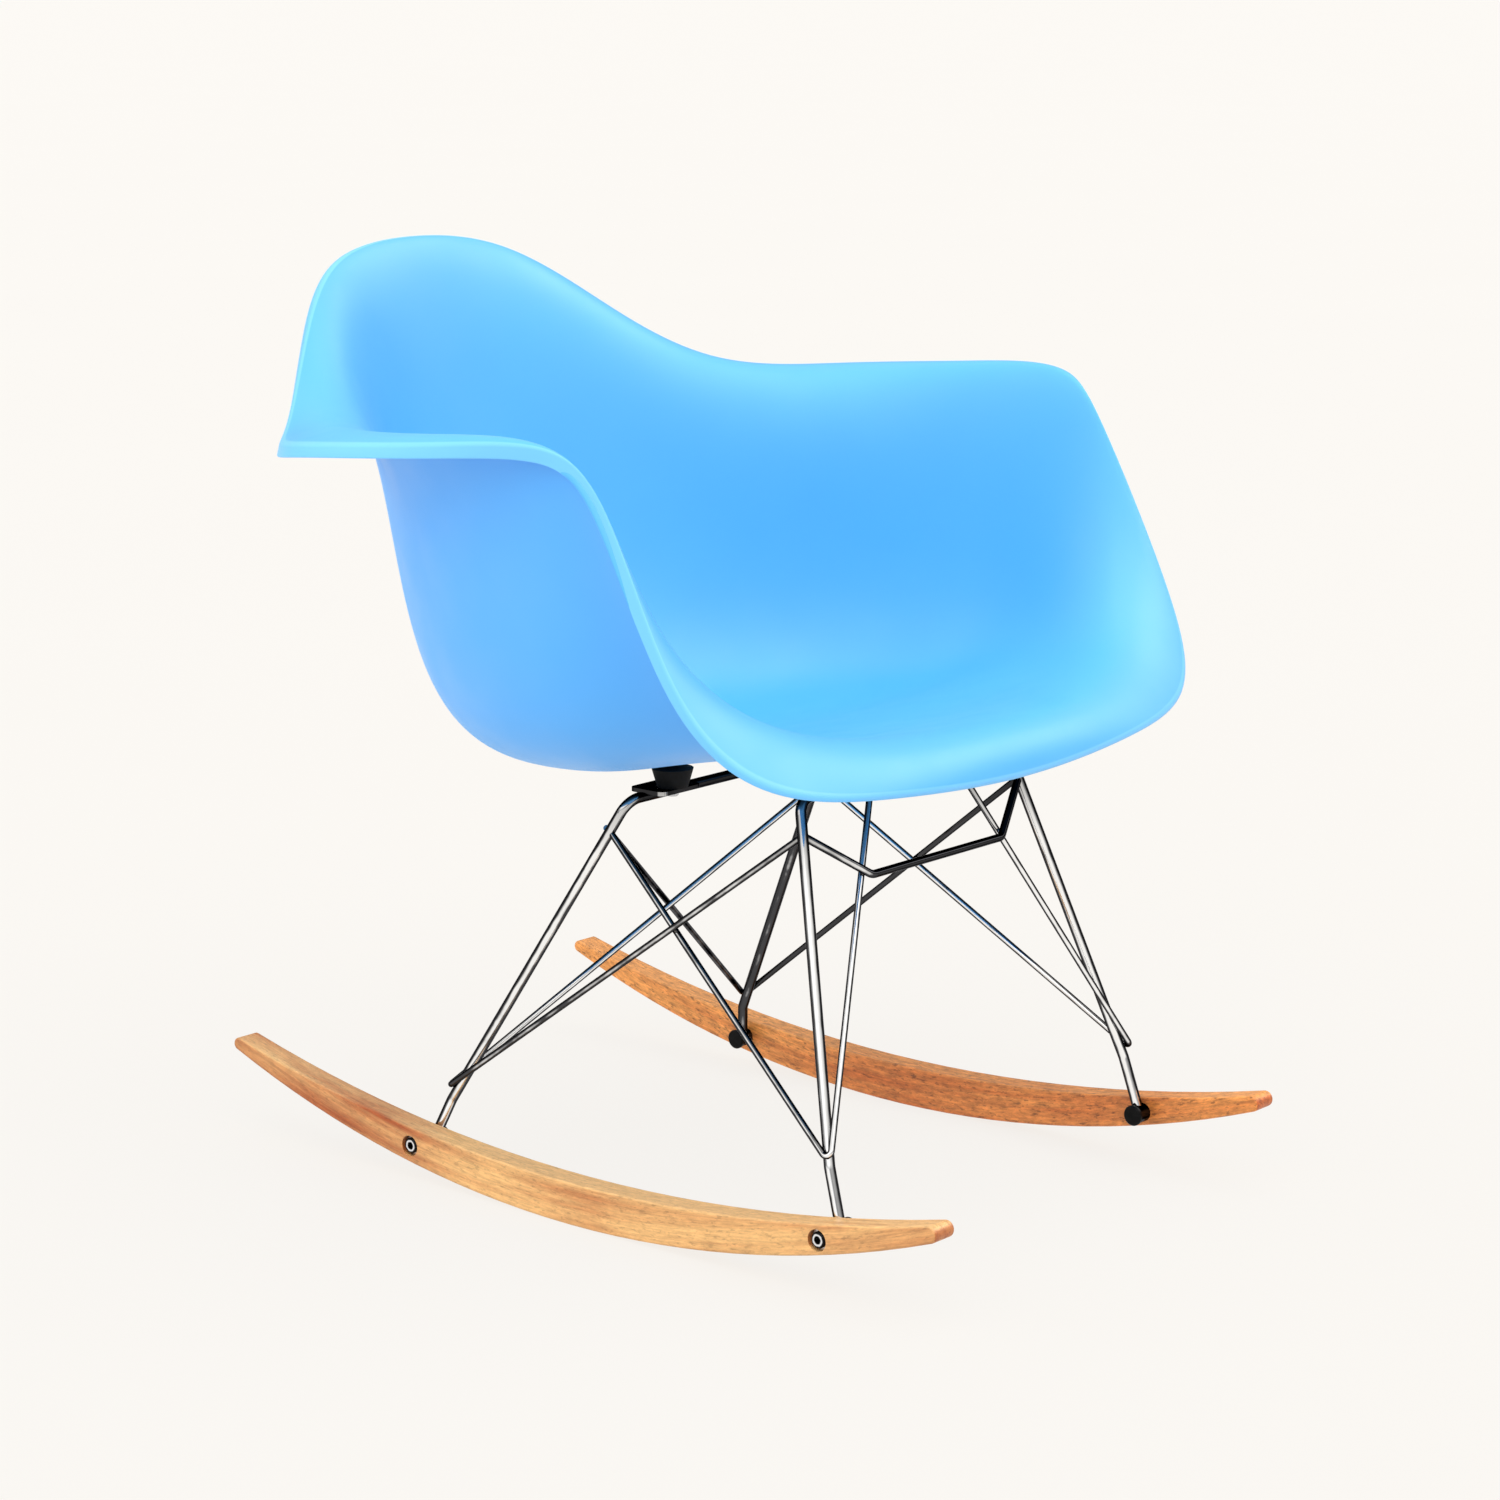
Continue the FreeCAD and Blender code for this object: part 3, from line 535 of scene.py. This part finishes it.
LOW_POINT = np.array((-40, 0, 317.5))
SEAT_SLOPE = 0.18
FLOOR_SHARE = 0.5

# Places on the skin run from the low point (0) to the rim, which counts as just inside the last
# knot. LIP_KNOTS add rows near the rim.

DEGREE = 3
RIM = 3
SKIN_KNOTS = [0, 0, 0, 0, 1, 2, RIM, RIM, RIM, RIM]
LIP_KNOTS = (2.85, 2.93)
JUST_INSIDE = 1e-9

# The shell's thickness at each row before the lip, the depth of the lip's edge at each point of the
# rim, and, for the lip's two rows, the share of that depth and how far the underside leans outward

THICKNESS = (5, 5, 4.6, 3.8, 3.8, 3.8)
LIP_DEPTHS = (4.5, 4.5, 5, 8.5, 12, 11.5, 10.5, 10.5, 10, 8, 6, 5)
LIP_BLENDS = ((0.9, 0.6), (1.0, 1.0))


def all_round(half):
    """A ring's points, all the way round."""
    half = np.array(half, float)
    return np.vstack((half, half[-2:0:-1] * (1, -1, 1)))


def add_row(rows, knots, new):
    """Add a knot across the rows, and keep the surface: each row near it blends two old ones."""
    span = max(k for k, knot in enumerate(knots) if knot <= new)
    finer = []
    for k in range(len(rows) + 1):
        if k <= span - DEGREE:
            finer.append(rows[k])
        elif k > span:
            finer.append(rows[k - 1])
        else:
            share = (new - knots[k]) / (knots[k + DEGREE] - knots[k])
            finer.append(rows[k - 1] * (1 - share) + rows[k] * share)
    return finer, knots[: span + 1] + [new] + knots[span + 1 :]


def guide_rows():
    """The rows of points from the low point through the guide rings to the rim, and their knots."""
    rings = [all_round(ring) for ring in RINGS.values()]
    ground = LOW_POINT + (rings[0] - LOW_POINT) * FLOOR_SHARE
    ground[:, 2] = LOW_POINT[2] + (ground[:, 0] - LOW_POINT[0]) * SEAT_SLOPE
    rows = [np.tile(LOW_POINT, (len(ground), 1)), ground] + rings
    knots = SKIN_KNOTS
    for knot in LIP_KNOTS:
        rows, knots = add_row(rows, knots, knot)
    return rows, knots


def ring_poles(points):
    """Poles of the closed cubic curve through evenly spaced points.

    Each point is four sixths of its own pole and one sixth of each neighbour.
    """
    count = len(points)
    weights = np.zeros((count, count))
    for k in range(count):
        weights[k, k] = 4 / 6
        weights[k, k - 1] = 1 / 6
        weights[k, (k + 1) % count] = 1 / 6
    return np.linalg.solve(weights, points)


def ring_weights(places, count):
    """How much each pole counts at each place round the ring."""
    table = np.zeros((len(places), count))
    for row, place in enumerate(places):
        k = int(math.floor(place))
        t = place - k
        parts = (
            (1 - t) ** 3 / 6,
            (3 * t**3 - 6 * t**2 + 4) / 6,
            (-3 * t**3 + 3 * t**2 + 3 * t + 1) / 6,
            t**3 / 6,
        )
        for step, part in enumerate(parts):
            table[row, (k - 1 + step) % count] += part
    return table


def row_weights(places, knots):
    """How much each row counts at each place from the low point to the rim."""
    table = []
    for place in places:
        place = min(place, RIM - JUST_INSIDE)
        basis = [float(a <= place < b) for a, b in zip(knots, knots[1:])]
        for degree in range(1, DEGREE + 1):
            raised = []
            for k in range(len(basis) - 1):
                value = 0.0
                width = knots[k + degree] - knots[k]
                if width > 0:
                    value += (place - knots[k]) / width * basis[k]
                width = knots[k + degree + 1] - knots[k + 1]
                if width > 0:
                    value += (knots[k + degree + 1] - place) / width * basis[k + 1]
                raised.append(value)
            basis = raised
        table.append(basis)
    return np.array(table)


def unit(vectors):
    return vectors / np.linalg.norm(vectors, axis=-1, keepdims=True)


class Skin:
    """A smooth surface from a low point through closed rows of points."""

    def __init__(self, rows, knots):
        self.count = len(rows[0])
        self.knots = knots
        self.poles = np.array([ring_poles(row) for row in rows])

    def points(self, outward, around):
        across = row_weights(outward, self.knots)
        along = ring_weights(around, self.count)
        return np.einsum("ik,jl,klc->ijc", across, along, self.poles)

    def directions(self, place, around, step=1e-3):
        """Unit normals, and unit steps outward, round the skin at one place."""
        ahead = self.points((min(place + step, RIM),), around)[0]
        behind = self.points((max(place - step, 0),), around)[0]
        left = self.points((place,), (around + step) % self.count)[0]
        right = self.points((place,), (around - step) % self.count)[0]
        return unit(np.cross(ahead - behind, left - right)), unit(ahead - behind)


def shell_skins():
    """The sitter's side of the shell and its underside, which flares to a lip at the rim."""
    rows, knots = guide_rows()
    inner = Skin(rows, knots)
    stations = np.arange(inner.count)
    centres = [sum(knots[k + 1 : k + 1 + DEGREE]) / DEGREE for k in range(len(rows))]
    floor_normal = np.array((-SEAT_SLOPE, 0, 1)) / math.hypot(SEAT_SLOPE, 1)
    moved = [rows[0] - floor_normal * THICKNESS[0]]
    walls = len(THICKNESS)
    for row, place, depth in zip(rows[1:walls], centres[1:walls], THICKNESS[1:]):
        moved.append(row - inner.directions(place, stations)[0] * depth)
    depths = np.array(LIP_DEPTHS + LIP_DEPTHS[-2:0:-1])[:, None]
    for row, place, (blend, lean) in zip(rows[walls:], centres[walls:], LIP_BLENDS):
        normal, outward = inner.directions(place, stations)
        moved.append(row + unit(outward * lean - normal) * depths * blend)
    return inner, Skin(moved, knots)


# The shell's mesh: the poles of a whole ring, and the mesh's columns round it

POLES = 22
COLUMNS_PER_POLE = 12
AROUND = POLES * COLUMNS_PER_POLE

# Its rows: how many lie before the lip, closer toward it by WALL_POWER, and how many in the lip,
# where the lip starts, and where its rounded corners start on the top and the underside

WALL_ROWS = 76
WALL_POWER = 0.9
LIP_ROWS = 14
LIP_START = 2.8
TOP_END = 2.972
UNDER_END = 2.988

# A corner's steps, how far it reaches into the edge, in millimetres, and the largest share of the
# edge that it takes

CORNER_STEPS = 6
CORNER_REACH = 2.0
CORNER_SHARE = 0.42


def bent(first, corner, last):
    """Rows that round a corner of the edge."""
    rows = []
    for k in range(1, CORNER_STEPS):
        t = k / CORNER_STEPS
        rows.append(first * (1 - t) ** 2 + corner * (2 * t * (1 - t)) + last * t**2)
    return rows


def edge_rows(inner, outer, around):
    """The flat edge of the lip, from the sitter's side to the underside, with rounded corners."""
    upper = inner.points((TOP_END, RIM), around)
    lower = outer.points((UNDER_END, RIM), around)
    across = lower[1] - upper[1]
    width = np.linalg.norm(across, axis=1, keepdims=True)
    inset = across / width * np.minimum(CORNER_REACH, CORNER_SHARE * width)
    start = upper[1] + inset
    end = lower[1] - inset
    flat = [start + (end - start) * share for share in (0, 0.5, 1)]
    return bent(upper[0], upper[1], start) + flat + bent(end, lower[1], lower[0])


def shell_mesh():
    """Closed quad mesh of the shell. Its lip_edge attribute is 1 on the edge of the lip, where the
    plastic gets a painted highlight.
    """
    inner, outer = shell_skins()
    around = np.arange(AROUND) / AROUND * POLES
    wall = LIP_START * np.linspace(0, 1, WALL_ROWS + 1)[1:] ** WALL_POWER
    top = np.append(wall, np.linspace(LIP_START, TOP_END, LIP_ROWS + 1)[1:])
    under = np.append(wall, np.linspace(LIP_START, UNDER_END, LIP_ROWS + 1)[1:])
    lip = edge_rows(inner, outer, around)
    rows = list(inner.points(top, around)) + lip + list(outer.points(under, around)[::-1])
    mesh = bmesh.new()
    grid = [[mesh.verts.new(Vector(point) * MM) for point in row] for row in rows]
    columns = [(k, (k + 1) % AROUND) for k in range(AROUND)]
    for first, second in zip(grid, grid[1:]):
        for k, after in columns:
            mesh.faces.new((first[k], second[k], second[after], first[after]))
    centre, under_centre = (
        mesh.verts.new(Vector(skin.points((0,), (0,))[0][0]) * MM) for skin in (inner, outer)
    )
    for k, after in columns:
        mesh.faces.new((centre, grid[0][k], grid[0][after]))
        mesh.faces.new((under_centre, grid[-1][after], grid[-1][k]))
    bmesh.ops.recalc_face_normals(mesh, faces=mesh.faces)
    data = mesh_data("shell", mesh)
    for face in data.polygons:
        face.use_smooth = True
    on_edge = np.zeros(len(data.vertices))
    on_edge[len(top) * AROUND : (len(top) + len(lip)) * AROUND] = 1
    data.attributes.new("lip_edge", "FLOAT", "POINT").data.foreach_set("value", on_edge)
    return data


def add_shell():
    """The shell's own surface, which stands for its CAD node."""
    shell = add_object("shell_surface", shell_mesh())
    shell.data.materials.append(shell_plastic())
    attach(shell, "root")
    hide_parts("seat_shell")


# Stage: the floor, in metres

FLOOR_RADIUS = 140
FLOOR_SIDES = 96
FLOOR_TONES = ((NOISE_LOW, (0.069, 0.0675, 0.0655)), (NOISE_HIGH, (0.071, 0.0695, 0.0675)))


def floor_paint():
    """Pale studio floor that glows, as a lit sweep does, so that shadows stay light."""
    m = surface("studio_floor")
    return m.dress(
        Base_Color=m.ramp(m.noise(m.place(), scale=1.3, detail=3), FLOOR_TONES),
        Roughness=0.9,
        Specular_IOR_Level=0.1,
        Emission_Color=(1.0, 0.972, 0.93, 1),
        Emission_Strength=0.84,
    )


def add_floor():
    """A wide plain floor that reaches past the camera's horizon."""
    mesh = bmesh.new()
    bmesh.ops.create_circle(mesh, cap_ends=True, segments=FLOOR_SIDES, radius=FLOOR_RADIUS)
    studio = add_object("studio_floor", mesh_data("studio_floor", mesh))
    studio.data.materials.append(floor_paint())


# Light: the world's colour from the horizon to overhead, its strength from the chair's right to its
# left, and each sun's azimuth (0 is the chair's front, 90 its left), elevation, power and spread,
# and whether it lights surfaces and shines in them

WORLD_BELT = (
    (0.0, (0.62, 0.61, 0.60)),
    (0.16, (0.16, 0.16, 0.16)),
    (0.55, (1.0, 0.985, 0.955)),
)
WORLD_STRENGTH = (1.5, 0.75)
SUNS = {
    "overhead": (0, 74, 1.3, 70, True, True),
    "front": (0, 30, 0.6, 60, True, False),
    "camera_side": (-80, 30, 0.3, 60, True, True),
    "rear_side": (-140, 6, 1.25, 60, True, False),
    "sheen": (56, 38, 1.25, 45, False, True),
}


def add_sun(name, azimuth, elevation, power, spread, lights, shines):
    """A very soft distant light."""
    data = bpy.data.lights.new(name, "SUN")
    data.energy = power
    data.angle = math.radians(spread)
    lamp = add_object(name, data)
    lamp.visible_diffuse = lights
    lamp.visible_glossy = shines
    turn = math.radians(azimuth)
    rise = math.radians(elevation)
    flat = math.cos(rise)
    away = Vector((math.cos(turn) * flat, math.sin(turn) * flat, math.sin(rise)))
    lamp.rotation_euler = away.to_track_quat("Z", "Y").to_euler()


def add_light():
    """Soft white light from all round, with a dimmer belt above the horizon, and soft suns."""
    m = Nodes(bpy.data.worlds.new("soft_white"), "Background", "OutputWorld")
    _, y, z = m.parts(m.add("TexCoord").outputs["Generated"])
    right, left = WORLD_STRENGTH
    m.dress(Color=m.ramp(z, WORLD_BELT), Strength=m.span(y, -1, 1, right, left))
    bpy.context.scene.world = m.block
    for name, values in SUNS.items():
        add_sun(name, *values)
    bpy.context.scene.view_settings.view_transform = "Standard"


add_camera()
dress_nodes()
add_shell()
add_floor()
add_light()
